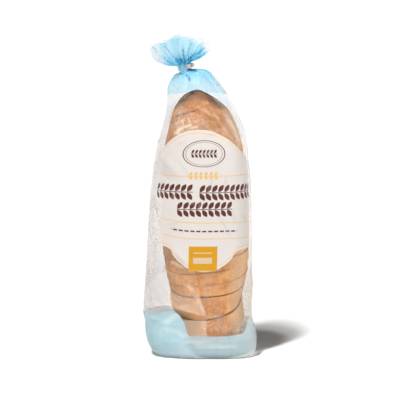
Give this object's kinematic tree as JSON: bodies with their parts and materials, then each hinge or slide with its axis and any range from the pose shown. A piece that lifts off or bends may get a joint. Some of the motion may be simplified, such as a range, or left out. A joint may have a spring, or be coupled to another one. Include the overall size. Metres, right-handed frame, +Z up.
{
  "type": "sliced loaf in bread bag",
  "caption": "Sliced loaf standing on end in a clear printed plastic bag, gathered above the loaf by a tie under a wide pleated ruffle.",
  "frame": {"origin": "middle of the bounding box on the floor under the standing bag", "axes": "+Z up along the loaf, +X to the right as the printed front is seen, -Y out of the printed front"},
  "size_m": [0.1216, 0.0882, 0.3405],
  "materials": {
    "film": "thin clear film with a milky haze, printed pale blue at both ends and with a white label field",
    "tie": "satin, off-white paper-coated plastic",
    "crust": "matt golden-brown baked crust, darker and greyer at the end of the loaf",
    "crumb": "matt pale crumb with small pores"
  },
  "bodies": {
    "root": {"bag": "film", "tie": "tie"}
  },
  "joints": []
}
